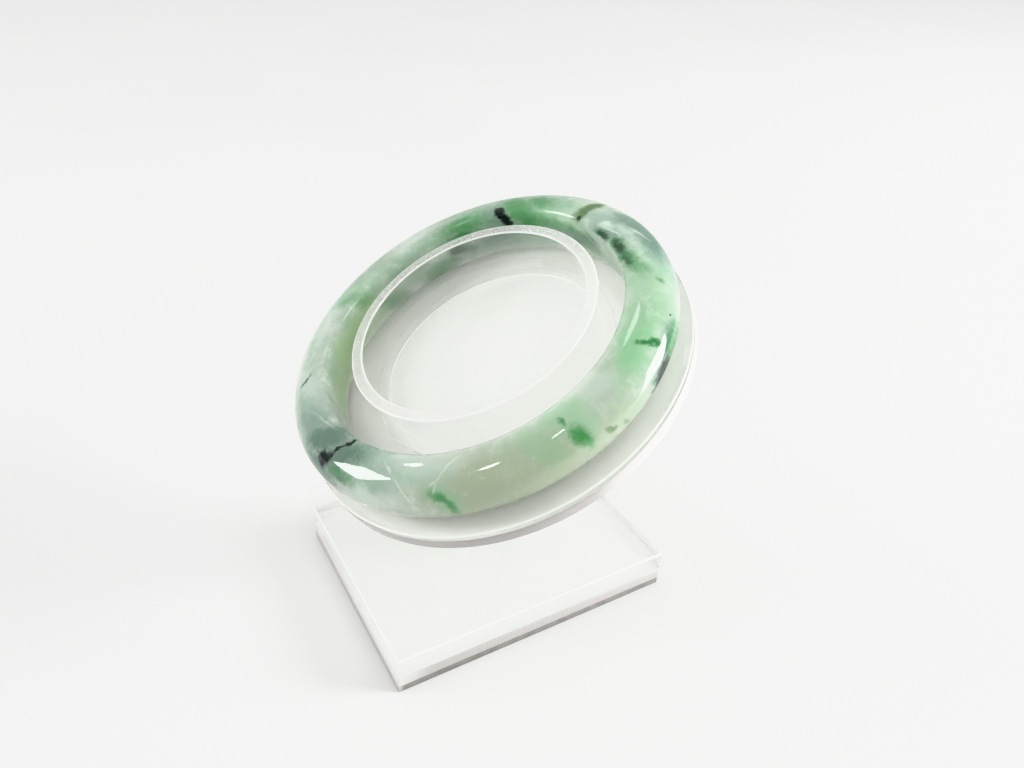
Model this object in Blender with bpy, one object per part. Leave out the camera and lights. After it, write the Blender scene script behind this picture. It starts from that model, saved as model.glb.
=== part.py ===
"""A jade bangle lying on an acrylic stand: a layered base, an upright, a tilted double disc and a ring.

Metres, +Z up. The origin is the middle of the underside, and -Y is the front, which the disc
leans towards.
"""

from math import cos, pi, radians, sin, tan

import bmesh
import bpy
from mathutils import Matrix, Vector

# Bangle
BANGLE_INNER_DIAMETER = 0.0573
BANGLE_THICKNESS = 0.0083
BANGLE_HEIGHT = 0.0099
BANGLE_CORNER_RADIUS = 0.0010
BANGLE_DOME_POWER = 2.2
BANGLE_OFF_CENTRE_X = -0.0013

# Ring that keeps the bangle in place
RING_PLAY = 0.00525
RING_WALL = 0.0021
RING_HEIGHT = 0.0109
RING_OFF_CENTRE_X = -0.0003
RING_OFF_CENTRE_Y = 0.0007

# Two discs under the bangle, a clear one on a white one
DISC_LIP = 0.00055
TOP_DISC_THICKNESS = 0.0013
WHITE_DISC_THICKNESS = 0.0019
DISC_TILT = radians(27)
DISC_FRONT_CLEARANCE = 0.0231

# Upright under the discs
UPRIGHT_WIDTH = 0.008
UPRIGHT_OFF_CENTRE_Y = 0.002

# Base: a clear plate on a white one, on a thin grey pad
PLATE_WIDTH = 0.046
PLATE_SETBACK = 0.0035
BASE_PLATE_THICKNESS = 0.0046
WHITE_BASE_THICKNESS = 0.0021
PAD_THICKNESS = 0.0012

# Finish
SHEET_CHAMFER = 0.0003
GLUE_GAP = 0.0003
TURNED_STEPS = 80
DOME_STEPS = 17
CORNER_STEPS = 4

# Colours, each with roughness, transmission and index of refraction
JADE = ((0.56, 0.69, 0.58, 1.0), 0.12, 0.15, 1.66)
CLEAR_ACRYLIC = ((0.95, 0.97, 0.96, 1.0), 0.03, 1.0, 1.49)
WHITE_ACRYLIC = ((0.88, 0.87, 0.85, 1.0), 0.20, 0.0, 1.49)
GREY_FOAM = ((0.40, 0.39, 0.37, 1.0), 0.80, 0.0, 1.45)

# Sizes that follow from those above
BANGLE_OUTER_DIAMETER = BANGLE_INNER_DIAMETER + 2 * BANGLE_THICKNESS
RING_OUTER_DIAMETER = BANGLE_INNER_DIAMETER - 2 * RING_PLAY
DISC_RADIUS = BANGLE_OUTER_DIAMETER / 2 + DISC_LIP
DISC_STACK = TOP_DISC_THICKNESS + GLUE_GAP + WHITE_DISC_THICKNESS
PLATE_DEPTH = 2 * (DISC_RADIUS * cos(DISC_TILT) - PLATE_SETBACK)
BASE_STACK = PAD_THICKNESS + GLUE_GAP + WHITE_BASE_THICKNESS + GLUE_GAP + BASE_PLATE_THICKNESS
DISC_HEIGHT = (
    BASE_STACK + DISC_FRONT_CLEARANCE
    + DISC_RADIUS * sin(DISC_TILT) + DISC_STACK * cos(DISC_TILT)
)


def clear_scene():
    """Takes every object out of the scene."""
    for obj in list(bpy.data.objects):
        bpy.data.objects.remove(obj, do_unlink=True)


def new_material(name, look):
    """A Principled material with one of the looks named above."""
    colour, roughness, transmission, index = look
    material = bpy.data.materials.new(name)
    material.use_nodes = True
    material.diffuse_color = colour
    shader = material.node_tree.nodes["Principled BSDF"]
    shader.inputs["Base Color"].default_value = colour
    shader.inputs["Metallic"].default_value = 0.0
    shader.inputs["Roughness"].default_value = roughness
    shader.inputs["IOR"].default_value = index
    shader.inputs["Transmission Weight"].default_value = transmission
    return material


def new_object(name, bm, material, parent=None, location=(0, 0, 0)):
    """Puts a finished bmesh into the scene as one named piece."""
    bmesh.ops.recalc_face_normals(bm, faces=bm.faces)
    mesh = bpy.data.meshes.new(name)
    bm.to_mesh(mesh)
    bm.free()
    mesh.materials.append(material)
    obj = bpy.data.objects.new(name, mesh)
    obj.location = location
    obj.parent = parent
    bpy.context.scene.collection.objects.link(obj)
    return obj


def shade_round(obj):
    """Smooth on the round faces, sharp on the edges between them."""
    obj.data.shade_smooth()
    obj.data.set_sharp_from_angle(angle=radians(35))


def chamfer(obj):
    """The small polished chamfer along every edge of a cut sheet."""
    bevel = obj.modifiers.new("polished edges", "BEVEL")
    bevel.width = SHEET_CHAMFER
    bevel.segments = 1
    bevel.limit_method = "ANGLE"
    bevel.angle_limit = radians(40)


def turn(profile):
    """Spins a closed outline of (radius, height) points about Z into a solid ring."""
    bm = bmesh.new()
    corners = [bm.verts.new((radius, 0, height)) for radius, height in profile]
    edges = [bm.edges.new((a, b)) for a, b in zip(corners, corners[1:] + corners[:1])]
    bmesh.ops.spin(
        bm, geom=corners + edges, cent=(0, 0, 0), axis=(0, 0, 1),
        angle=2 * pi, steps=TURNED_STEPS, use_merge=True,
    )
    bmesh.ops.remove_doubles(bm, verts=bm.verts, dist=1e-6)
    return bm


def bangle_profile():
    """The D section: a flat inner wall with eased corners, and a full dome outside."""
    inner = BANGLE_INNER_DIAMETER / 2
    spring = inner + BANGLE_CORNER_RADIUS
    dome_depth = BANGLE_THICKNESS - BANGLE_CORNER_RADIUS
    half = BANGLE_HEIGHT / 2
    points = []
    for step in range(DOME_STEPS):
        angle = pi * (step / (DOME_STEPS - 1) - 0.5)
        reach = abs(cos(angle)) ** (2 / BANGLE_DOME_POWER)
        rise = abs(sin(angle)) ** (2 / BANGLE_DOME_POWER)
        points.append((spring + dome_depth * reach, half + (half * rise if angle > 0 else -half * rise)))
    for step in range(1, CORNER_STEPS + 1):
        angle = pi / 2 * step / CORNER_STEPS
        out, up = BANGLE_CORNER_RADIUS * sin(angle), BANGLE_CORNER_RADIUS * (1 - cos(angle))
        points.append((spring - out, BANGLE_HEIGHT - up))
    for step in range(CORNER_STEPS):
        angle = pi / 2 * step / CORNER_STEPS
        out, up = BANGLE_CORNER_RADIUS * cos(angle), BANGLE_CORNER_RADIUS * (1 - sin(angle))
        points.append((spring - out, up))
    return points


def make_bangle(top):
    """The carved jade ring, lying loose on the upper disc."""
    place = (BANGLE_OFF_CENTRE_X, 0, GLUE_GAP)
    bangle = new_object("bangle", turn(bangle_profile()), new_material("jade", JADE), top, place)
    shade_round(bangle)


def ring_profile():
    """A square-cut tube wall with its four corners chamfered."""
    outer = RING_OUTER_DIAMETER / 2
    inner = outer - RING_WALL
    cut = SHEET_CHAMFER
    return [
        (outer - cut, 0), (outer, cut), (outer, RING_HEIGHT - cut), (outer - cut, RING_HEIGHT),
        (inner + cut, RING_HEIGHT), (inner, RING_HEIGHT - cut), (inner, cut), (inner + cut, 0),
    ]


def make_ring(top, material):
    """The short tube cemented to the upper disc inside the bangle."""
    place = (RING_OFF_CENTRE_X, RING_OFF_CENTRE_Y, GLUE_GAP)
    ring = new_object("ring", turn(ring_profile()), material, top, place)
    shade_round(ring)


def make_disc(name, top, material, upper_face, thickness):
    """A round sheet in the tilted frame, with its upper face at this height there."""
    bm = bmesh.new()
    bmesh.ops.create_cone(
        bm, cap_ends=True, segments=TURNED_STEPS, radius1=DISC_RADIUS, radius2=DISC_RADIUS,
        depth=thickness, matrix=Matrix.Translation((0, 0, upper_face - thickness / 2)),
    )
    disc = new_object(name, bm, material, top)
    chamfer(disc)
    shade_round(disc)


def stack_underside(y):
    """Height above the ground of the lower disc's lower face, on the line at this Y."""
    return DISC_HEIGHT + y * tan(DISC_TILT) - DISC_STACK / cos(DISC_TILT)


def make_upright(material):
    """The square bar from the base plate to the discs, its upper end cut to their slope."""
    bm = bmesh.new()
    size = Matrix.Diagonal((UPRIGHT_WIDTH, UPRIGHT_WIDTH, 1, 1))
    cube = bmesh.ops.create_cube(bm, size=1, matrix=Matrix.Translation((0, UPRIGHT_OFF_CENTRE_Y, 0)) @ size)
    foot = BASE_STACK + GLUE_GAP
    for vert in cube["verts"]:
        head = stack_underside(vert.co.y) - GLUE_GAP / cos(DISC_TILT)
        vert.co.z = head if vert.co.z > 0 else foot
    new_object("upright", bm, material)


def make_sheet(name, material, underside, thickness):
    """One rectangular layer of the base, with its lower face at this height."""
    bm = bmesh.new()
    size = Vector((PLATE_WIDTH, PLATE_DEPTH, thickness))
    bmesh.ops.create_cube(bm, size=1)
    for vert in bm.verts:
        vert.co = vert.co * size + Vector((0, 0, underside + thickness / 2))
    return new_object(name, bm, material)


def make_base(clear, white):
    """The three layers of the base, from the ground up."""
    make_sheet("base_pad", new_material("grey foam", GREY_FOAM), 0, PAD_THICKNESS)
    white_underside = PAD_THICKNESS + GLUE_GAP
    chamfer(make_sheet("white_base", white, white_underside, WHITE_BASE_THICKNESS))
    clear_underside = white_underside + WHITE_BASE_THICKNESS + GLUE_GAP
    chamfer(make_sheet("base_plate", clear, clear_underside, BASE_PLATE_THICKNESS))


clear_scene()
clear_acrylic = new_material("clear acrylic", CLEAR_ACRYLIC)
white_acrylic = new_material("white acrylic", WHITE_ACRYLIC)
tilted_top = bpy.data.objects.new("tilted_top", None)
tilted_top.location = (0, 0, DISC_HEIGHT)
tilted_top.rotation_euler = (DISC_TILT, 0, 0)
bpy.context.scene.collection.objects.link(tilted_top)

make_base(clear_acrylic, white_acrylic)
make_upright(clear_acrylic)
make_disc("white_disc", tilted_top, white_acrylic, -TOP_DISC_THICKNESS - GLUE_GAP, WHITE_DISC_THICKNESS)
make_disc("top_disc", tilted_top, clear_acrylic, 0, TOP_DISC_THICKNESS)
make_ring(tilted_top, clear_acrylic)
make_bangle(tilted_top)
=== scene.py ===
from math import cos, pi, radians, sin, tan

import bpy
from mathutils import Matrix, Vector


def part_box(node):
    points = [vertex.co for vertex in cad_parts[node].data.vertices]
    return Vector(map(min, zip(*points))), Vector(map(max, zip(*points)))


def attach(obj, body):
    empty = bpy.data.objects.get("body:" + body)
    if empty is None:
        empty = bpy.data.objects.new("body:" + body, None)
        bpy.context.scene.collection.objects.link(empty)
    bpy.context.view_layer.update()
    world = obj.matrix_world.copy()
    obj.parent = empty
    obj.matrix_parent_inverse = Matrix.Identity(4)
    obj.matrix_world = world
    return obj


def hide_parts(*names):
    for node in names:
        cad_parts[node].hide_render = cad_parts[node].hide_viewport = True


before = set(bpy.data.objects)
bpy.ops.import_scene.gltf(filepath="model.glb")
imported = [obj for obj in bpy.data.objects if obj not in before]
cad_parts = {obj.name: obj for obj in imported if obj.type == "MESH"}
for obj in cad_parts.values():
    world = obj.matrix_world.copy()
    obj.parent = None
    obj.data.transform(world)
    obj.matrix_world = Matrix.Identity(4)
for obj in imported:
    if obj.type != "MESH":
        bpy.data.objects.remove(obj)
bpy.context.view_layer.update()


# Base pad
# A thin sheet of grey non-slip foam, cut to the size of the base and stuck under it. Only its
# edge shows, as a dark line between the white plate and the table. Along the low front its grey is
# painted paler, as painted light where that side faces the light.

pad_low, pad_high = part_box("base_pad")
white_low, white_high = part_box("white_base")
plate_low, plate_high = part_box("base_plate")
pad_seam = (pad_high[2] + white_low[2]) / 2
white_seam = (white_high[2] + plate_low[2]) / 2
plate_top = plate_high[2]
cemented = 0.00003
pad_edge = 0.0001
sharp_corner = radians(40)
smooth_below = radians(50)


def deselect_all():
    if bpy.context.mode != "OBJECT":
        bpy.ops.object.mode_set(mode="OBJECT")
    bpy.ops.object.select_all(action="DESELECT")


def only(piece):
    """Makes one piece the selected and active one."""
    deselect_all()
    piece.select_set(True)
    bpy.context.view_layer.objects.active = piece


def name_piece(name):
    """The primitive just added, renamed."""
    piece = bpy.context.object
    piece.name = name
    piece.data.name = name
    return piece


def apply_place(piece):
    only(piece)
    bpy.ops.object.transform_apply(location=True, rotation=True, scale=True)


def round_edges(piece, width, segments=3):
    """Eases the sharp edges of a piece, as polishing does."""
    only(piece)
    easing = piece.modifiers.new("eased edges", "BEVEL")
    easing.width = width
    easing.segments = segments
    easing.limit_method = "ANGLE"
    easing.angle_limit = sharp_corner
    bpy.ops.object.modifier_apply(modifier=easing.name)


def cut_sheet(name, underside, top, edge):
    """A rectangular sheet of the base between two heights, with its edges eased."""
    deselect_all()
    bpy.ops.mesh.primitive_cube_add(size=1, location=(0, 0, (underside + top) / 2))
    sheet = name_piece(name)
    sheet.scale = (pad_high[0] - pad_low[0], pad_high[1] - pad_low[1], top - underside)
    apply_place(sheet)
    round_edges(sheet, edge)
    bpy.ops.object.shade_smooth_by_angle(angle=smooth_below)
    return sheet


class Wire:
    """An output socket of a node, so that sums on it add the Math nodes for them."""

    def __init__(self, finish, socket):
        self.finish = finish
        self.socket = socket

    def maths(self, operation, first, second=0.0):
        return self.finish.node("ShaderNodeMath", {"operation": operation}, {0: first, 1: second})

    def __add__(self, other):
        return self.maths("ADD", self, other)

    def __radd__(self, other):
        return self.maths("ADD", other, self)

    def __sub__(self, other):
        return self.maths("SUBTRACT", self, other)

    def __rsub__(self, other):
        return self.maths("SUBTRACT", other, self)

    def __mul__(self, other):
        return self.maths("MULTIPLY", self, other)

    def __rmul__(self, other):
        return self.maths("MULTIPLY", other, self)


class Finish:
    """A material, or the room's light, made of one shader and of nodes that one method adds."""

    def __init__(self, name, plain, home=bpy.data.materials, shader="Principled BSDF"):
        self.material = home.new(name)
        self.material.use_nodes = True
        self.tree = self.material.node_tree
        self.shader = self.tree.nodes[shader]
        for socket, value in plain.items():
            self.shader.inputs[socket].default_value = value

    def feed(self, socket, value):
        if isinstance(value, Wire):
            self.tree.links.new(value.socket, socket)
        else:
            socket.default_value = value

    def node(self, kind, settings=None, sockets=None, output=0):
        node = self.tree.nodes.new(kind)
        for name, value in (settings or {}).items():
            setattr(node, name, value)
        for name, value in (sockets or {}).items():
            self.feed(node.inputs[name], value)
        return Wire(self, node.outputs[output])

    def coords(self):
        return self.node("ShaderNodeTexCoord", output="Object")

    def noise(self, place, scale, detail=3.0, roughness=0.5, distortion=0.0):
        """Cloud noise around 0.5, with this many waves to a unit of the place."""
        return self.node("ShaderNodeTexNoise", {}, {
            "Vector": place, "Scale": scale, "Detail": detail,
            "Roughness": roughness, "Distortion": distortion,
        })

    def spread(self, value, low, high, to_low=0.0, to_high=1.0, kind="SMOOTHSTEP"):
        """A value taken from one range to another, with its ends clamped."""
        return self.node("ShaderNodeMapRange", {"interpolation_type": kind, "clamp": True}, {
            "Value": value, "From Min": low, "From Max": high, "To Min": to_low, "To Max": to_high,
        })

    def blend(self, share, colour, other):
        """One colour with a share of another over it."""
        return self.node("ShaderNodeMix", {"data_type": "RGBA"}, {0: share, 6: colour, 7: other}, output=2)

    def bump(self, height, strength, distance):
        """A normal bent by a height, where distance is what a height of 1 stands for."""
        return self.node("ShaderNodeBump", {}, {"Height": height, "Strength": strength, "Distance": distance})

    def shade(self, **sockets):
        """Feeds what changes over the surface to the shader."""
        for name, value in sockets.items():
            self.feed(self.shader.inputs[name.replace("_", " ")], value)


foam = Finish("grey_foam", {"Roughness": 0.9, "Specular IOR Level": 0.2})
foam_place = foam.coords()
foam_cells = foam.node("ShaderNodeTexVoronoi", {}, {"Vector": foam_place, "Scale": 4500.0})
foam_mottle = foam.spread(foam.noise(foam_place, 400.0, detail=4.0), 0.3, 0.7)
foam_grey = foam.blend(foam_mottle, (0.185, 0.175, 0.165, 1), (0.235, 0.225, 0.215, 1))
foam_front = foam.node("ShaderNodeSeparateXYZ", {}, {0: foam_place}, output=1)
# Painted light: the grey turns paler towards the low front side, which faces the light.
foam_painted_light = foam.spread(foam_front, pad_low[1] + 0.0015, pad_low[1] + 0.0002)
foam.shade(
    Base_Color=foam.blend(foam_painted_light, foam_grey, (0.40, 0.385, 0.37, 1)),
    Normal=foam.bump(foam_cells, 0.6, 0.00008),
)

base_pad = cut_sheet("foam_pad", 0, pad_seam, pad_edge)
base_pad.data.materials.append(foam.material)
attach(base_pad, "root")
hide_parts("base_pad")


# White base plate
# Opaque white cast acrylic, sawn to the same size as the clear plate and cemented under it. Its
# sawn edges are polished, and they keep a faint trace of the saw.

polished_edge = 0.00025
acrylic = {"Specular IOR Level": 0.5, "IOR": 1.49}
# The grey of the sawn edges is partly their own dullness and partly painted shade, for the sides turned from
# the light.
shaded_saw_grey = (0.37, 0.355, 0.345, 1)
shaded_saw_pale = (0.41, 0.395, 0.385, 1)
plate_up = Vector((0, 0, 1))
level_face = 0.99


def white_face_finish(name, dull, bright):
    """The smooth cast face of a white sheet, faintly cloudy between two tones."""
    white = Finish(name, acrylic)
    place = white.coords()
    cloud = white.spread(white.noise(place, 90.0, detail=2.0), 0.35, 0.65)
    white.shade(
        Base_Color=white.blend(cloud, dull, bright),
        Roughness=white.spread(white.noise(place, 350.0), 0.3, 0.7, 0.12, 0.24),
    )
    return white.material


def white_edge_finish(name, across_the_saw, lit_side, lit_tone):
    """The sawn and polished edge of a white sheet, greyer than its faces as painted shade, and painted pale on
    its side towards the light, as painted light.
    """
    edge = Finish(name, acrylic)
    place = edge.coords()
    grime = edge.spread(edge.noise(place, 2500.0, detail=4.0, roughness=0.6), 0.60, 0.85)
    stretched = edge.node("ShaderNodeMapping", {}, {"Vector": place, "Scale": across_the_saw})
    saw = edge.noise(stretched, 1.0, detail=2.0)
    # The edge's grey, streaked by the saw, is partly painted shade.
    sawn = edge.blend(edge.spread(saw, 0.3, 0.7), shaded_saw_grey, shaded_saw_pale)
    towards = edge.node(
        "ShaderNodeVectorMath", {"operation": "DOT_PRODUCT"}, {0: place, 1: lit_side}, output="Value")
    # Painted light: the edge turns to the pale tone on its side towards the light.
    tone = edge.blend(edge.spread(towards, 0.022, 0.031), sawn, lit_tone)
    edge.shade(
        Base_Color=edge.blend(grime * 0.10, tone, (0.34, 0.32, 0.29, 1)),
        Roughness=edge.spread(edge.noise(place, 350.0), 0.3, 0.7, 0.20, 0.27),
        Normal=edge.bump(saw + grime * 0.2, 0.15, 0.00001),
    )
    return edge.material


def finish_white_sheet(sheet, face, edge, upwards):
    """Gives the flat faces of a white sheet one finish, and all that lies round its edge another."""
    sheet.data.materials.clear()
    sheet.data.materials.append(face)
    sheet.data.materials.append(edge)
    for side in sheet.data.polygons:
        side.material_index = 0 if abs(side.normal.dot(upwards)) > level_face else 1


white_base = cut_sheet("white_plate", pad_seam - cemented, white_seam + cemented, polished_edge)
finish_white_sheet(
    white_base,
    # The plate's face is set darker than the disc's face of the same sheet: painted shade of the disc above it.
    white_face_finish("white_plate_face", (0.84, 0.845, 0.82, 1), (0.86, 0.865, 0.84, 1)),
    # The plate's edge is painted pale on its side towards the left window, as painted light.
    white_edge_finish("white_plate_edge", (9000, 9000, 150), (0, -1, 0), (0.60, 0.59, 0.58, 1)),
    plate_up)
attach(white_base, "root")
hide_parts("white_base")


# Clear base plate and upright
# Cast acrylic, clear as glass. The plate is cemented on the white one, and a square bar stands on
# it, near its middle, with its upper end cut to the slope of the discs and cemented to them. The
# solvent leaves no seam between plate and bar, so the two are one clear body here.

bangle_inner_radius = 0.0573 / 2
bangle_thickness = 0.0083
disc_lip = 0.00055
disc_radius = bangle_inner_radius + bangle_thickness + disc_lip
disc_stack = 0.0035
disc_tilt = radians(27)
front_clearance = 0.0231
disc_centre = Vector((
    0, 0, plate_top + front_clearance + disc_radius * sin(disc_tilt) + disc_stack * cos(disc_tilt),
))
upright_low, upright_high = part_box("upright")
bar_edge = 0.0002
cement_fillet = 0.0002
clear_piece = {"IOR": 1.49, "Transmission Weight": 1.0}
level_margin = 0.00001
least_facing_of_ease, most_facing_of_ease = 0.15, 0.97
facing_of_cut_end = 0.98
no_cut_end = 1.0


def unite(piece, other):
    """Cements another piece to a piece, so that they are one body."""
    only(piece)
    cement = piece.modifiers.new("cement", "BOOLEAN")
    cement.operation = "UNION"
    cement.solver = "EXACT"
    cement.object = other
    bpy.ops.object.modifier_apply(modifier=cement.name)
    bpy.data.objects.remove(other, do_unlink=True)


def clear_acrylic_finish(name, plain, tints=((0.988, 0.994, 0.990, 1), (0.996, 0.998, 0.996, 1))):
    """Clear acrylic: polished, with fine dust, faint wipe marks and the waves of a cast sheet."""
    clear = Finish(name, plain)
    place = clear.coords()
    wipe = clear.node("ShaderNodeMapping", {}, {
        "Vector": place, "Rotation": (0.3, 0.2, 0.6), "Scale": (60, 900, 300),
    })
    smear = clear.spread(clear.noise(wipe, 1.0, detail=4.0, roughness=0.6), 0.55, 0.80)
    dust = clear.spread(clear.noise(place, 2600.0, detail=2.0), 0.72, 0.80)
    tint = clear.spread(clear.noise(place, 60.0), 0.35, 0.65)
    clear.shade(
        Base_Color=clear.blend(tint, *tints),
        Roughness=smear * 0.03 + dust * 0.15,
        Normal=clear.bump(clear.noise(place, 110.0, detail=1.0), 0.12, 0.0002),
    )
    return clear.material


def finish_clear_piece(piece, finishes, upwards, sheet_top, cut_height):
    """Gives the sheet, what stands on it, their seam and eased edges, and the sawn end a finish each."""
    piece.data.materials.clear()
    for finish in finishes:
        piece.data.materials.append(finish)
    for side in piece.data.polygons:
        height = side.center.dot(upwards)
        facing = side.normal.dot(upwards)
        if height < sheet_top + level_margin:
            eased = least_facing_of_ease < abs(facing) < most_facing_of_ease
            side.material_index = 2 if eased else 0
        elif height > cut_height and facing > facing_of_cut_end:
            side.material_index = 3
        elif height > cut_height or height < sheet_top + cement_fillet:
            side.material_index = 2
        else:
            side.material_index = 1


def bright_acrylic_finish(name, plain, low, high):
    """Clear acrylic where a saw, a chamfer or cement has left it whitish."""
    bright = Finish(name, {"IOR": 1.49} | plain)
    grain = bright.noise(bright.coords(), 1800.0, detail=4.0)
    bright.shade(
        Base_Color=bright.blend(grain, (0.95, 0.95, 0.94, 1), (1.0, 1.0, 0.99, 1)),
        Roughness=bright.spread(grain, 0.3, 0.7, low, high),
        Normal=bright.bump(grain, 0.15, 0.00002),
    )
    return bright.material


plate_and_bar = cut_sheet("clear_plate", white_seam, plate_top, polished_edge)
deselect_all()
bpy.ops.mesh.primitive_cube_add(size=1)
upright = name_piece("bar_blank")
upright.scale = (upright_high[0] - upright_low[0], upright_high[1] - upright_low[1], 1)
upright.location = (0, (upright_high[1] + upright_low[1]) / 2, 0)
apply_place(upright)
for corner in upright.data.vertices:
    slope = disc_centre.z + corner.co.y * tan(disc_tilt) - (disc_stack - cemented) / cos(disc_tilt)
    corner.co.z = slope if corner.co.z > 0 else plate_top - polished_edge
round_edges(upright, bar_edge)
unite(plate_and_bar, upright)
round_edges(plate_and_bar, cement_fillet)
bpy.ops.object.shade_smooth_by_angle(angle=smooth_below)
bright_line = bright_acrylic_finish("clear_bright_lines", {"Transmission Weight": 0.3, "Alpha": 0.95}, 0.1, 0.2)
bar_tints = ((0.90, 0.935, 0.92, 1), (0.93, 0.955, 0.945, 1))
bar_finish = clear_acrylic_finish("clear_bar_faces", clear_piece, bar_tints)
finish_clear_piece(plate_and_bar, (
    clear_acrylic_finish("clear_plate_faces", clear_piece | {"Alpha": 0.80, "Specular IOR Level": 0.62}),
    bar_finish, bright_line, bar_finish,
), plate_up, plate_top, no_cut_end)
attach(plate_and_bar, "root")
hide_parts("base_plate", "upright")


# White disc
# The same white sheet, turned to a disc. It is cemented under the clear disc, and it is what the
# bangle's soft green shadow falls on.

top_disc_thickness = 0.0013
cement_gap = 0.0003
disc_seam = -(top_disc_thickness + cement_gap / 2)
disc_steps = 256
disc_up = Vector((0, -sin(disc_tilt), cos(disc_tilt)))


def tilt_on_stand(piece):
    """Tilts a piece made flat at the origin, and moves it up to the stand's discs."""
    piece.rotation_euler = (disc_tilt, 0, 0)
    piece.location = disc_centre
    apply_place(piece)


def turned_disc(name, underside, top):
    """A round sheet between two heights, with its edges eased."""
    deselect_all()
    bpy.ops.mesh.primitive_cylinder_add(
        vertices=disc_steps, radius=disc_radius, depth=top - underside, location=(0, 0, (underside + top) / 2))
    disc = name_piece(name)
    apply_place(disc)
    round_edges(disc, polished_edge)
    return disc


white_disc = turned_disc("white_disc_sheet", -disc_stack, disc_seam + cemented)
tilt_on_stand(white_disc)
bpy.ops.object.shade_smooth_by_angle(angle=smooth_below)
finish_white_sheet(
    white_disc,
    white_face_finish("white_disc_face", (0.935, 0.945, 0.91, 1), (0.955, 0.96, 0.93, 1)),
    # The disc's edge is painted near white on its side towards the right window, as painted light.
    white_edge_finish("white_disc_edge", (3000, 3000, 3000), (0.64, 0.77, 0), (0.90, 0.89, 0.88, 1)),
    disc_up)
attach(white_disc, "root")
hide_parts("white_disc")


# Clear disc and ring
# A thin clear disc, and a short length of clear tube cemented on it. The tube is a little smaller
# than the bangle's hole, and it keeps the bangle from sliding off.

ring_clearance = 0.00525
ring_outer_radius = bangle_inner_radius - ring_clearance
ring_wall = 0.0021
ring_height = 0.0109
ring_top = cement_gap + ring_height
ring_foot = -0.0004
ring_place = (-0.0003, 0.0007, 0)
weld = 0.000001

ring_and_disc = turned_disc("clear_disc_and_ring", disc_seam, 0)
deselect_all()
bpy.ops.mesh.primitive_plane_add(size=1, rotation=(pi / 2, 0, 0))
ring = name_piece("ring_blank")
ring.scale = (ring_wall, ring_top - ring_foot, 1)
ring.location = (ring_outer_radius - ring_wall / 2, 0, (ring_top + ring_foot) / 2)
apply_place(ring)
bpy.ops.object.mode_set(mode="EDIT")
bpy.ops.mesh.select_all(action="SELECT")
bpy.ops.mesh.bevel(offset=polished_edge, segments=3, affect="VERTICES")
bpy.ops.mesh.select_all(action="SELECT")
bpy.ops.mesh.delete(type="ONLY_FACE")
bpy.ops.mesh.select_all(action="SELECT")
bpy.ops.mesh.spin(steps=disc_steps, angle=2 * pi, center=(0, 0, 0), axis=(0, 0, 1))
bpy.ops.mesh.select_all(action="SELECT")
bpy.ops.mesh.remove_doubles(threshold=weld)
bpy.ops.mesh.normals_make_consistent(inside=False)
bpy.ops.object.mode_set(mode="OBJECT")
ring.location = ring_place
apply_place(ring)
unite(ring_and_disc, ring)
round_edges(ring_and_disc, cement_fillet)
tilt_on_stand(ring_and_disc)
bpy.ops.object.shade_smooth_by_angle(angle=smooth_below)
disc_top = disc_centre.dot(disc_up)
finish_clear_piece(ring_and_disc, (
    clear_acrylic_finish("clear_disc_faces", clear_piece | {"Alpha": 0.45, "Specular IOR Level": 1.0}),
    clear_acrylic_finish("clear_ring_faces", clear_piece | {"Alpha": 0.22, "Specular IOR Level": 1.0}),
    bright_line,
    bright_acrylic_finish("clear_ring_sawn_top", {"Transmission Weight": 0.70, "Alpha": 0.60}, 0.2, 0.3),
), disc_up, disc_top, disc_top + ring_top - polished_edge)
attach(ring_and_disc, "root")
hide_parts("top_disc", "ring")


# Bangle
# Jadeite, sawn and ground from one block and polished to a high gloss. The inner wall is straight
# with eased corners and the outside is a full dome, and it lies loose on the clear disc.

bangle_height = 0.0099
bangle_corner = 0.0010
dome_power = 2.2
bangle_off_centre = -0.0013
seat_gap = 0.00003
section_points = 96
turned_steps = 288


def dome_section(angle):
    """Radius and height of the D section at an angle, from straight down round the outside."""
    dome = bangle_thickness - bangle_corner
    half = bangle_height / 2
    reach = abs(cos(angle)) ** (2 / dome_power)
    rise = abs(sin(angle)) ** (2 / dome_power)
    return bangle_inner_radius + bangle_corner + dome * reach, half + half * rise * (1 if angle > 0 else -1)


def section_point(turn):
    """A point on the section, going once round as turn goes from 0 to 1."""
    dome_share = 0.66
    corner_share = 0.12
    wall_share = 1 - dome_share - 2 * corner_share
    spring = bangle_inner_radius + bangle_corner
    if turn < dome_share:
        return dome_section(pi * (turn / dome_share - 0.5))
    turn -= dome_share
    if turn < corner_share:
        angle = pi / 2 * turn / corner_share
        return spring - bangle_corner * sin(angle), bangle_height - bangle_corner * (1 - cos(angle))
    turn -= corner_share
    if turn < wall_share:
        down = turn / wall_share
        return bangle_inner_radius, bangle_height - bangle_corner - down * (bangle_height - 2 * bangle_corner)
    turn -= wall_share
    angle = pi / 2 * turn / corner_share
    return spring - bangle_corner * cos(angle), bangle_corner * (1 - sin(angle))


deselect_all()
bpy.ops.mesh.primitive_circle_add(vertices=section_points, radius=bangle_thickness / 2)
bangle = name_piece("bangle_polished")
for number, vert in enumerate(bangle.data.vertices):
    radius, height = section_point(number / section_points)
    vert.co = (radius, 0, height)
bpy.ops.object.mode_set(mode="EDIT")
bpy.ops.mesh.select_all(action="SELECT")
bpy.ops.mesh.spin(steps=turned_steps, angle=2 * pi, center=(0, 0, 0), axis=(0, 0, 1))
bpy.ops.mesh.select_all(action="SELECT")
bpy.ops.mesh.remove_doubles(threshold=weld)
bpy.ops.mesh.normals_make_consistent(inside=False)
bpy.ops.object.mode_set(mode="OBJECT")
bpy.ops.object.shade_smooth()
bangle.location = (bangle_off_centre, 0, seat_gap)
apply_place(bangle)
tilt_on_stand(bangle)

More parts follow.
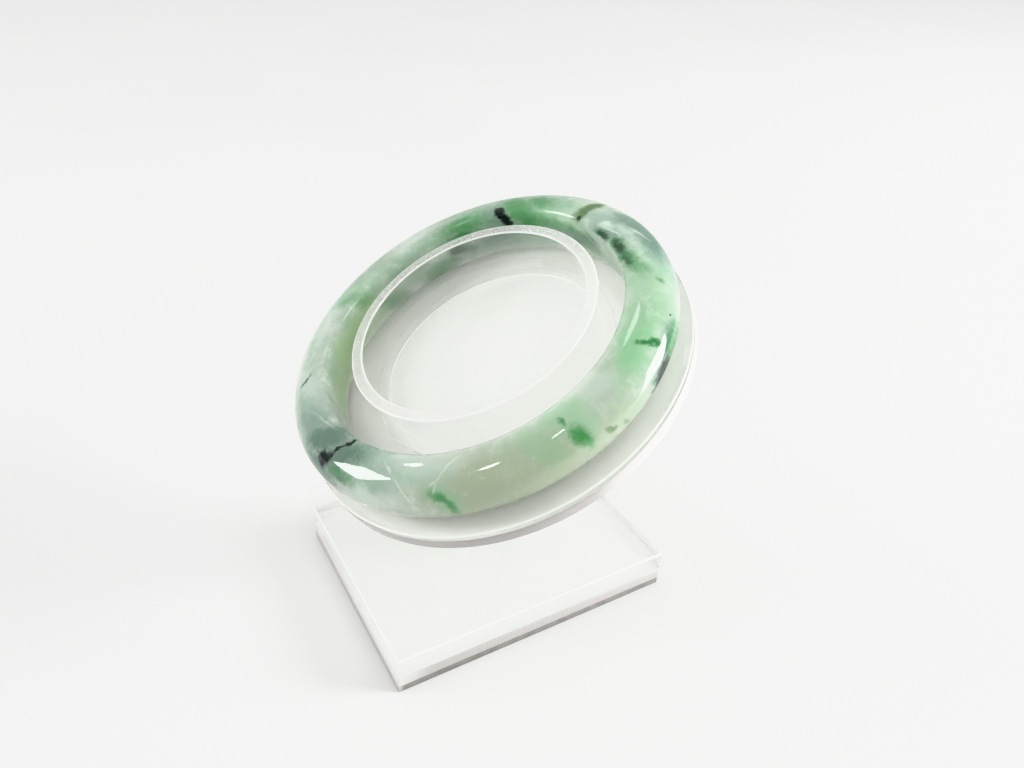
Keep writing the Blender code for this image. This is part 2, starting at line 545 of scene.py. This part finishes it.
# The stone's clouds and marks are placed in millimetres in the bangle's own frame, with its hole's
# axis up and its underside at 0. Each is a run of points, with a half width and a strength.

millimetre = 0.001
bangle_centre = disc_centre + Matrix.Rotation(disc_tilt, 3, "X") @ Vector((bangle_off_centre, 0, seat_gap))

jade_ior = 1.66
jade = Finish("jade", {
    "IOR": jade_ior, "Subsurface Weight": 1.0, "Subsurface Radius": (1.0, 1.1, 1.0),
    "Subsurface Scale": 0.022,
})
jade_place = jade.node("ShaderNodeMapping", {"vector_type": "TEXTURE"}, {
    "Vector": jade.coords(), "Location": bangle_centre, "Rotation": (disc_tilt, 0, 0),
    "Scale": (millimetre, millimetre, millimetre),
})


def warped(place, scale, amount, detail=2.0):
    """The place pushed about by noise, so that what is drawn on it gets a natural edge."""
    push = jade.node("ShaderNodeTexNoise", {}, {"Vector": place, "Scale": scale, "Detail": detail}, output=1)
    centred = jade.node("ShaderNodeVectorMath", {"operation": "SUBTRACT"}, {0: push, 1: (0.5, 0.5, 0.5)})
    pushed = jade.node("ShaderNodeVectorMath", {"operation": "SCALE"}, {0: centred, "Scale": amount})
    return jade.node("ShaderNodeVectorMath", {"operation": "ADD"}, {0: place, 1: pushed})


cloud_place = warped(jade_place, 0.16, 5.0, detail=3.0)
mark_place = warped(warped(jade_place, 0.5, 1.6), 1.7, 0.7, detail=4.0)
fibre = jade.noise(mark_place, 0.9, detail=5.0, roughness=0.65)


def mark(place, start, end, width, edge, ragged):
    """A cloud or vein in the stone from one point to another, as a share from 0 to 1."""
    start = Vector(start)
    run = Vector(end) - start
    turn = run.to_track_quat("X", "Z").to_euler() if run.length > 0.01 else (0, 0, 0)
    inside = jade.node("ShaderNodeMapping", {"vector_type": "TEXTURE"}, {
        "Vector": place, "Location": start + run / 2, "Rotation": turn,
        "Scale": (run.length / 2 + width, width, width),
    })
    reach = jade.node("ShaderNodeVectorMath", {"operation": "LENGTH"}, {0: inside}, output="Value")
    return jade.spread(reach + (fibre - 0.5) * ragged, 1 + edge, 1 - edge)


def abs_gap(value, middle):
    """How far a value lies from a middle one, on either side."""
    return jade.node("ShaderNodeMath", {"operation": "ABSOLUTE"}, {0: value - middle})


def marks(place, edge, ragged, rows):
    """All the marks of one kind together, as a share from 0 to 1."""
    most = 0.0
    for points, width, strength in rows:
        for start, end in zip(points, points[1:] or points):
            one = mark(place, start, end, width, edge, ragged) * strength
            most = one.maths("MAXIMUM", one, most)
    return most


def stain(stone, colour, place, edge, ragged, rows):
    """Lays one colour of marks over the stone."""
    return jade.blend(marks(place, edge, ragged, rows), stone, colour)


ground_green = (0.237, 0.308, 0.242, 1)
ground_grey = (0.328, 0.366, 0.323, 1)
pale_wisp = (0.45, 0.49, 0.44, 1)
green_wisp = (0.17, 0.26, 0.19, 1)
pale_speck = (0.50, 0.54, 0.49, 1)
warm_grey = (0.25, 0.285, 0.21, 1)
wall_green = (0.29, 0.37, 0.235, 1)
cool_green = (0.18, 0.27, 0.205, 1)
blue_grey = (0.20, 0.265, 0.235, 1)
milk_white = (0.42, 0.47, 0.43, 1)
apple_green = (0.17, 0.32, 0.19, 1)
painted_foot_glow = (0.50, 0.56, 0.44, 1)
crack_haze = (0.35, 0.42, 0.37, 1)
crack_white = (0.52, 0.58, 0.52, 1)
fine_crack_white = (0.55, 0.60, 0.54, 1)

clouds = jade.noise(cloud_place, 0.11, detail=4.0, roughness=0.60)
wisps = jade.noise(cloud_place, 0.33, detail=6.0, roughness=0.68)
specks = jade.noise(mark_place, 1.6, detail=4.0, roughness=0.6)
stone = jade.blend(jade.spread(clouds, 0.36, 0.62), ground_green, ground_grey)
stone = jade.blend(jade.spread(wisps, 0.50, 0.72) * 0.60, stone, pale_wisp)
stone = jade.blend(jade.spread(wisps, 0.48, 0.30) * 0.50, stone, green_wisp)
stone = jade.blend(jade.spread(specks, 0.58, 0.76) * 0.25, stone, pale_speck)

stone = stain(stone, warm_grey, cloud_place, 0.60, 0.9, [
    ([(27, -19, 5), (33, -13, 4), (36, -2, 4.5)], 6.8, 0.95),
    ([(30, 11, 9.9), (33, 3, 9.5)], 3.8, 0.60),
    ([(36, 3, 3), (34, 12, 3)], 4.5, 0.40),
    ([(24, -26, 3), (12, -33, 3)], 3.4, 0.40),
    ([(32, 5, 9.9), (34, -4, 9)], 4.0, 0.35),
    ([(36.2, 3.5, 6.5), (36.0, 8.5, 5.0)], 2.8, 0.70),
])
stone = stain(stone, wall_green, cloud_place, 0.45, 0.6, [
    ([(-26, -12, 4), (-22.5, -17.7, 4), (-8.9, -27.2, 2)], 4.2, 0.90),
])
stone = stain(stone, cool_green, cloud_place, 0.50, 0.8, [
    ([(-24, 16, 3), (-19, 21, 3), (-10, 26.5, 3)], 4.0, 0.70),
    ([(-27.5, 12, 10), (-22.4, 18.4, 9.6)], 3.4, 0.60),
    ([(-29, -8, 9), (-29.5, 2, 8.0)], 2.4, 0.25),
    ([(-3, 28.5, 4), (12, 26, 3)], 4.0, 0.50),
    ([(-17, 26, 9.5), (-12, 29, 9)], 2.6, 0.55),
    ([(-28.6, 1.0, 8.8), (-27.6, 8.5, 9.4)], 1.8, 0.70),
    ([(24, -21.5, 9.7), (18.5, -26.5, 9.8), (12, -29, 9.8)], 2.8, 0.60),
])
stone = stain(stone, blue_grey, cloud_place, 0.50, 1.0, [
    ([(0, 31, 9.7), (5, 33, 9.2)], 3.8, 0.80),
    ([(6, 35, 8.5), (17, 32, 7.5)], 3.6, 0.85),
    ([(-6.5, -31.5, 9.6), (1, -34, 8.4)], 4.6, 0.60),
    ([(13, -30, 8.5), (19, -28, 8)], 3.6, 0.45),
    ([(29, 9, 9.9), (33, 6, 9.2)], 3.0, 0.35),
    ([(20, 31, 5.5), (8, 36, 5.5)], 3.0, 0.70),
])
stone = stain(stone, milk_white, cloud_place, 0.55, 1.0, [
    ([(-31.6, 0.3, 9.7), (-31.3, 6.4, 9.6)], 2.1, 0.70),
    ([(-8.5, 31, 9.6)], 1.6, 0.35),
    ([(9, 32, 9.2), (15, 30, 9.0)], 2.0, 0.50),
    ([(-28, -16, 9.9), (-21, -24, 9.5)], 2.4, 0.65),
    ([(31, 9, 9.8), (31.5, 3, 9.9)], 2.4, 0.35),
    ([(24.5, -18.5, 9.9), (18, -25, 9.8)], 2.2, 0.40),
    ([(0.5, 29.6, 9.9), (2.5, 30.5, 9.9)], 1.0, 0.80),
    ([(16.5, -33.0, 6.4), (21, -30.2, 6.6)], 1.8, 0.55),
    ([(-18.1, -29.6, 8.9), (-9.9, -29.9, 9.8)], 2.4, 0.50),
    ([(-9.4, 27.4, 9.4), (-8.0, 28.0, 9.6)], 1.4, 0.50),
    ([(6, 33.0, 9.5), (-1, 33.5, 9.3)], 1.6, 0.45),
    ([(-29, -12.7, 9.8), (-27, -14, 9.6)], 1.8, 0.50),
])
stone = stain(stone, apple_green, cloud_place, 0.60, 1.0, [
    ([(15.7, 28.1, 9.7), (23, 24, 9.4), (29, 16, 9.4)], 4.4, 0.50),
    ([(27, 19, 9.5), (30.5, 13.5, 9.0)], 3.0, 0.95),
    ([(30, -0.5, 9.9), (34.5, 0.7, 9.0)], 3.0, 0.60),
    ([(30.5, -6, 9.9), (35, -5, 8.0)], 2.2, 0.35),
    ([(-21, 23, 9), (-9, 28, 8)], 3.0, 0.65),
    ([(-28.4, 13.9, 9.8), (-26, 16, 9)], 2.2, 0.50),
    ([(28.2, -22.4, 8.1), (30, -21.7, 4.6)], 2.0, 0.60),
    ([(-28.5, -11, 9.5), (-27.5, -15, 9.5)], 2.4, 0.50),
    ([(-31, -16, 8.8), (-24, -25, 8.8)], 1.6, 0.35),
])

# The foot of the stone, close over the disc, is painted paler: painted light, for the light from the white disc
# under it.

height_on_stone = jade.node("ShaderNodeSeparateXYZ", {}, {0: jade_place}, output=2)
stone = jade.blend(jade.spread(height_on_stone, 2.4, 0.5) * 0.5, stone, painted_foot_glow)

# Over the clouds lie darker spots, which let less light through: teal, then green, olive and near
# black. Where the green is dense it stops the light as the black does.

teal = marks(mark_place, 0.60, 0.9, [
    ([(1.0, -34.0, 9.1), (5.6, -29.6, 9.9)], 2.7, 0.88),
    ([(6.5, -33.8, 9.0), (11.0, -29.2, 9.7)], 2.4, 0.85),
    ([(1.0, -35.8, 7.4), (10, -35.4, 6.6)], 2.0, 0.80),
    ([(-5.0, -33.8, 9.0), (-1.0, -31.5, 9.7)], 2.4, 0.35),
    ([(-23.4, 18.0, 9.6), (-20.5, 20, 8)], 1.8, 0.50),
    ([(-26.8, 10.0, 4.7), (-25.6, 12.9, 3.7)], 1.5, 0.80),
    ([(-24.5, 15.5, 5.0), (-18.5, 21.5, 5.0)], 2.4, 0.70),
    ([(-12, 26, 4.8), (-3, 28.4, 4.6)], 2.0, 0.65),
    ([(2.0, 34.0, 9.0), (2.8, 33.4, 9.3)], 1.1, 0.60),
    ([(5, 34.6, 8.0), (9, 34.5, 7.4)], 1.5, 0.55),
    ([(0.5, 29.2, 9.6), (5.0, 29.2, 9.9)], 1.2, 0.45),
    ([(6.5, 28.9, 9.9), (13.8, 27.0, 9.9)], 1.3, 0.55),
    ([(28.6, 22.6, 5.2), (31.2, 19.4, 4.9), (32.9, 16.6, 4.3)], 2.2, 1.00),
    ([(7.5, -34.6, 8.5), (12.5, -33.4, 8.2)], 1.1, 0.90),
    ([(-2.0, 36.6, 6.0), (7.5, 36.2, 6.0), (15.0, 33.6, 6.4)], 1.5, 0.60),
    ([(0.7, 34.2, 9.0), (7.2, 34.8, 8.1), (13.4, 32.3, 8.5)], 2.0, 0.70),
])
green = marks(mark_place, 0.75, 1.2, [
    ([(-27.0, 10.7, 9.5), (-24.6, 15.4, 9.3)], 1.8, 0.75),
    ([(-26.7, 10.3, 6.9), (-25.4, 13.4, 7.2)], 1.4, 0.80),
    ([(-26.7, -14.6, 9.9), (-26.4, -11.1, 7.8)], 1.4, 0.45),
    ([(-20.7, 23.0, 9.8), (-17.6, 22.8, 9.4), (-16.1, 23.7, 6.9)], 2.6, 0.80),
    ([(-16.1, 23.7, 7.9), (-7.4, 27.7, 6.6)], 1.3, 0.60),
    ([(-18.0, 26.4, 9.7), (-15.0, 27.4, 9.6)], 1.8, 0.65),
    ([(13.8, 27.0, 9.9), (16.5, 28.1, 9.7)], 1.2, 0.45),
    ([(19.9, 28.4, 8.8), (20.3, 28.5, 8.6)], 0.6, 0.65),
    ([(29.0, 17.4, 9.2), (30.1, 19.6, 7.6)], 0.60, 1.00),
    ([(27.6, 23.8, 4.6), (30.4, 20.4, 4.4)], 1.6, 0.85),
    ([(8.8, -34.0, 8.3), (11.5, -33.2, 8.3), (14.0, -32.3, 8.2)], 0.6, 0.50),
    ([(32.4, -0.9, 9.6), (32.8, -0.9, 9.5)], 0.45, 0.80),
    ([(27.2, -22.9, 8.1), (29.1, -21.9, 7.1), (29.9, -21.7, 4.8)], 0.65, 0.72),
    ([(35.1, -0.3, 8.5), (36.2, 0.5, 7.2)], 1.15, 0.80),
    ([(-28.5, 3.2, 1.5), (-27.8, 7.1, 2.0)], 1.6, 0.95),
    ([(-27.6, -7.5, 3.4), (-28.3, -4.5, 1.5)], 1.8, 0.65),
    ([(6.7, 28.8, 9.9), (9.0, 28.6, 9.9), (13.5, 27.4, 9.9)], 1.3, 0.65),
    ([(1.3, 28.8, 9.5), (4.0, 28.8, 9.8)], 1.0, 0.50),
])
olive = marks(mark_place, 0.60, 0.9, [
    ([(-5.4, 29.0, 9.9), (-5.8, 31.2, 9.8), (-5.5, 33.9, 8.9)], 1.2, 0.90),
    ([(36.6, 4.4, 6.2), (36.7, 5.2, 5.4)], 0.55, 0.70),
    ([(36.2, 7.4, 4.5), (36.2, 7.8, 4.3)], 0.5, 0.45),
    ([(-3.2, 28.5, 6.9), (-1.5, 28.6, 6.0)], 0.6, 0.50),
])
black = marks(mark_place, 0.50, 1.5, [
    ([(6.4, -34.0, 8.9), (5.9, -34.3, 8.7)], 1.30, 1.00),
    ([(6.9, -33.6, 9.0), (7.2, -32.0, 9.6), (7.8, -30.2, 9.9), (8.5, -27.8, 9.7)], 0.40, 0.95),
    ([(2.6, -34.6, 8.7), (5.1, -34.5, 8.7)], 0.30, 0.60),
    ([(-22.2, 20.2, 9.9), (-20.4, 20.2, 9.2), (-20.2, 20.3, 7.4)], 1.0, 1.00),
    ([(1.3, 28.8, 9.5), (4.0, 28.8, 9.8)], 0.72, 0.65),
    ([(6.7, 28.8, 9.9), (9.8, 28.3, 9.9)], 0.75, 0.72),
    ([(11.0, 27.7, 9.9), (13.6, 27.1, 9.9)], 0.45, 0.50),
    ([(-5.2, 28.9, 9.8), (-4.9, 28.8, 9.6)], 0.50, 0.80),
    ([(26.1, 25.1, 7.3), (26.2, 25.1, 7.2)], 0.25, 0.70),
    ([(-27.0, 9.4, 4.4), (-26.4, 11.2, 4.2)], 0.8, 0.50),
    ([(-13.1, -30.7, 9.4), (-13.8, -28.9, 9.7)], 0.36, 0.60),
    ([(31.3, 19.1, 4.4), (32.9, 16.2, 3.7)], 1.4, 1.00),
])
deep_green = marks(mark_place, 0.60, 0.9, [
    ([(29.0, 17.4, 9.2), (30.1, 19.6, 7.6)], 0.60, 0.95),
    ([(-5.4, 29.0, 9.9), (-5.8, 31.2, 9.8), (-5.5, 33.9, 8.9)], 1.0, 0.60),
    ([(1.3, 28.8, 9.5), (4.0, 28.8, 9.8)], 0.95, 0.55),
    ([(6.7, 28.8, 9.9), (9.8, 28.3, 9.9), (13.6, 27.1, 9.9)], 0.95, 0.55),
])
stone = jade.blend(teal, stone, (0.065, 0.125, 0.095, 1))
spot_colour = (0.055, 0.100, 0.080, 1)
for marked, in_stone, on_top in (
    (green, (0.030, 0.190, 0.045, 1), (0.020, 0.130, 0.035, 1)),
    (olive, (0.075, 0.150, 0.045, 1), (0.060, 0.120, 0.040, 1)),
    (black, (0.004, 0.013, 0.010, 1), (0.003, 0.009, 0.008, 1)),
):
    stone = jade.blend(marked, stone, in_stone)
    spot_colour = jade.blend(marked, spot_colour, on_top)
spot_share = green * 0.42
for dense in (olive * 0.35, teal * 0.30, deep_green, black):
    spot_share = dense.maths("MAXIMUM", spot_share, dense)

# Thin healed cracks, paler than the stone round them.

crack_place = warped(jade_place, 0.4, 0.8)
cracks = jade.noise(warped(jade_place, 0.25, 3.0), 0.42, detail=2.0)
crack_line = jade.spread(abs_gap(cracks, 0.5), 0.010, 0.0)
stone = jade.blend(crack_line * jade.spread(wisps, 0.48, 0.62) * 0.22, stone, fine_crack_white)
stone = stain(stone, crack_haze, crack_place, 0.50, 0.8, [
    ([(21.5, -25.0, 9.4), (25.5, -20.5, 9.2)], 2.2, 0.35),
])
stone = stain(stone, crack_white, crack_place, 0.90, 0.8, [
    ([(16.7, -26.0, 9.9), (21.1, -26.4, 9.2), (24.6, -26.5, 7.5)], 0.17, 0.55),
    ([(25.6, -16.6, 9.9), (26.3, -21.3, 9.2), (25.1, -26.0, 7.4)], 0.17, 0.50),
    ([(26.3, -21.3, 9.2), (27.8, -23.6, 7.6)], 0.14, 0.35),
    ([(-4.0, -31.5, 9.8), (2.5, -30.0, 9.9)], 0.15, 0.35),
    ([(5.5, 33.0, 9.2), (9.5, 33.5, 8.7)], 0.20, 0.60),
    ([(1.0, 30.0, 9.9), (7.0, 30.6, 9.9)], 0.20, 0.50),
])

grain = jade.noise(jade_place, 1.1, detail=6.0, roughness=0.62)
polish = jade.noise(jade_place, 0.5, detail=2.0)
gloss = jade.spread(grain, 0.35, 0.75, 0.025, 0.075)
surface = jade.bump(polish + grain * 0.06, 0.35, 0.00004)
jade.shade(Base_Color=stone, Roughness=gloss, Normal=surface)
spots = jade.node("ShaderNodeBsdfPrincipled", {}, {
    "Base Color": spot_colour, "Roughness": gloss, "IOR": jade_ior, "Specular IOR Level": 0.3,
    "Normal": surface,
})
clear_stone = Wire(jade, jade.shader.outputs["BSDF"])
both = jade.node("ShaderNodeMixShader", {}, {0: spot_share, 1: clear_stone, 2: spots})
jade.feed(jade.tree.nodes["Material Output"].inputs["Surface"], both)

bangle.data.materials.append(jade.material)
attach(bangle, "root")
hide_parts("bangle")


# Floor
# A sheet of matt white board under everything. The pad lies on it, and it isn't part of the
# object.

deselect_all()
bpy.ops.mesh.primitive_circle_add(vertices=96, radius=3.0, fill_type="NGON", location=(0, 0, -0.0001))
floor = name_piece("floor")

board = Finish("matt_board", {"Roughness": 0.9, "Specular IOR Level": 0.2})
board_tone = board.spread(board.noise(board.coords(), 9.0, detail=2.0), 0.3, 0.7)
board.shade(Base_Color=board.blend(board_tone, (0.64, 0.64, 0.64, 1), (0.66, 0.66, 0.66, 1)))
floor.data.materials.append(board.material)


# Light
# A white room, brightest overhead and in front, with a window on each side, two small panes and two
# lamps.

room = Finish("white_room", {"Strength": 0.70}, bpy.data.worlds, "Background")
direction = room.node("ShaderNodeTexCoord", output="Generated")
seen = room.node("ShaderNodeLightPath", output="Is Camera Ray")


def share_towards(side, low, high):
    """How much of the room's walls lies on one side, from 0 to 1."""
    towards = room.node("ShaderNodeVectorMath", {"operation": "DOT_PRODUCT"}, {0: direction, 1: side}, "Value")
    return room.spread(towards, low, high) * (1 - seen)


walls = (0.84, 0.84, 0.84, 1)
walls = room.blend(share_towards((-0.12, -0.35, 0.93), 0.0, 0.95), walls, (1.75, 1.75, 1.74, 1))
walls = room.blend(share_towards((0.90, -0.42, 0.05), 0.40, 0.92), walls, (0.78, 0.77, 0.755, 1))
walls = room.blend(share_towards((0.25, -0.96, -0.05), 0.35, 0.90), walls, (1.60, 1.59, 1.57, 1))
room.shade(Color=walls)
bpy.context.scene.world = room.material


lamp_distance = 0.9
lamp_aim = Vector((0, 0, 0.05))


def soft_box(name, azimuth, elevation, width, height, strength):
    """A rectangular soft light, aimed at the bangle."""
    light = bpy.data.lights.new(name, "AREA")
    light.shape = "RECTANGLE"
    light.size = width
    light.size_y = height
    light.energy = strength
    lamp = bpy.data.objects.new(name, light)
    bpy.context.scene.collection.objects.link(lamp)
    a, e = radians(azimuth), radians(elevation)
    away = Vector((cos(a) * cos(e), sin(a) * cos(e), sin(e)))
    lamp.location = lamp_aim + away * lamp_distance
    lamp.rotation_euler = (-away).to_track_quat("-Z", "Y").to_euler()
    lamp.visible_camera = False


soft_box("window_left", -119, 18, 0.22, 0.30, 3.6)
soft_box("window_left_pane", -140, 40, 0.05, 0.03, 0.15)
soft_box("window_right", 59, 17, 0.36, 0.52, 17.0)
soft_box("ceiling_lamp", -93, 50, 0.04, 0.08, 0.5)
soft_box("second_lamp", -72, 67, 0.03, 0.06, 0.25)
soft_box("high_window", 177, 62, 0.10, 0.10, 0.14)


# Camera
# Above the low front's right-hand end, looking down into the bangle, with a fairly wide lens. Its
# place was worked out from the rims of the bangle, ring and discs and the edges of the base.

camera_place = (0.116646, -0.066222, 0.137063)
camera_turn = 1.0238
camera_pitch = radians(55.938)
camera_roll = radians(3.237)

lens = bpy.data.cameras.new("camera")
lens.lens = 30.16
lens.sensor_width = 36
lens.clip_start = 0.01
camera = bpy.data.objects.new("camera", lens)
bpy.context.scene.collection.objects.link(camera)
camera.matrix_world = (
    Matrix.Translation(camera_place)
    @ Matrix.Rotation(camera_turn, 4, "Z")
    @ Matrix.Rotation(camera_pitch, 4, "X")
    @ Matrix.Rotation(camera_roll, 4, "Z")
)
bpy.context.scene.camera = camera
bpy.context.scene.view_settings.view_transform = "Khronos PBR Neutral"
